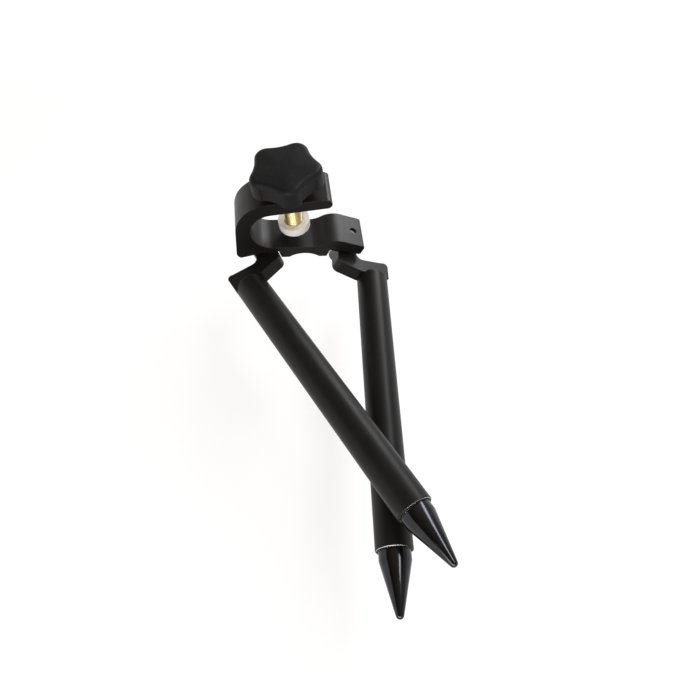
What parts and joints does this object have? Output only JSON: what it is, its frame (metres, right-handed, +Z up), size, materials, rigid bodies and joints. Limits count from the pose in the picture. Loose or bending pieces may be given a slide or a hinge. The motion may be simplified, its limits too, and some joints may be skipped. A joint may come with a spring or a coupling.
{
  "type": "prism pole bipod",
  "caption": "Hook clamp with a lobed hand screw and nylon pad for a survey pole, carrying swinging tubular legs with steel points.",
  "frame": {"origin": "middle of the clamp's pocket floor, half way along the pole direction", "axes": "+Z up from the bench on which the part lies, +Y level and along the pole away from the legs, +X towards the open mouth"},
  "size_m": [0.0953, 0.2289, 0.0862],
  "materials": {
    "black_anodised": "satin black anodised",
    "nylon": "natural white nylon",
    "brass": "turned brass",
    "knob_plastic": "moulded black, soft matt",
    "dark_steel": "polished, black nickel plated",
    "fibre": "dark friction disc",
    "bare_aluminium": "turned",
    "steel": "zinc plated"
  },
  "bodies": {
    "clamp": {"clamp_body": "black_anodised", "right_hinge_screw": "steel", "right_friction_washer": "fibre", "right_plain_washer": "steel", "right_spring_washer": "steel", "left_hinge_screw": "steel", "left_friction_washer": "fibre", "left_plain_washer": "steel", "left_spring_washer": "steel"},
    "right_leg": {"right_arm": "black_anodised", "right_tube": "black_anodised", "right_end_plug": "bare_aluminium", "right_point": "dark_steel"},
    "left_leg": {"left_arm": "black_anodised", "left_tube": "black_anodised", "left_end_plug": "bare_aluminium", "left_point": "dark_steel"},
    "pad": {"pressure_pad": "nylon"},
    "hand_screw": {"knob": "knob_plastic", "clamp_screw": "brass", "pad_screw": "steel"}
  },
  "joints": [
    {"name": "right_leg_swing", "type": "hinge", "parent": "clamp", "child": "right_leg", "pos_m": [0.02581, 0.00058, -0.00907], "axis": [0.3055, -0.061, 0.9502], "range_deg": [0, 45]},
    {"name": "left_leg_swing", "type": "hinge", "parent": "clamp", "child": "left_leg", "pos_m": [-0.02503, 0.00071, -0.01104], "axis": [0.3781, 0.0593, -0.9239], "range_deg": [0, 55]},
    {"name": "pad_travel", "type": "slide", "parent": "clamp", "child": "pad", "axis": [-0.1945, -0.0628, 0.9789], "range_m": [-0.0025, 0.0135]},
    {"name": "knob_turn", "type": "hinge", "parent": "pad", "child": "hand_screw", "pos_m": [-0.00956, -0.00175, 0.02726], "axis": [-0.1945, -0.0628, 0.9789], "range_deg": [-601, 3241]}
  ],
  "couplings": [
    {"joint": "knob_turn", "follows": "pad_travel", "rad_per_m": 4188.8}
  ]
}
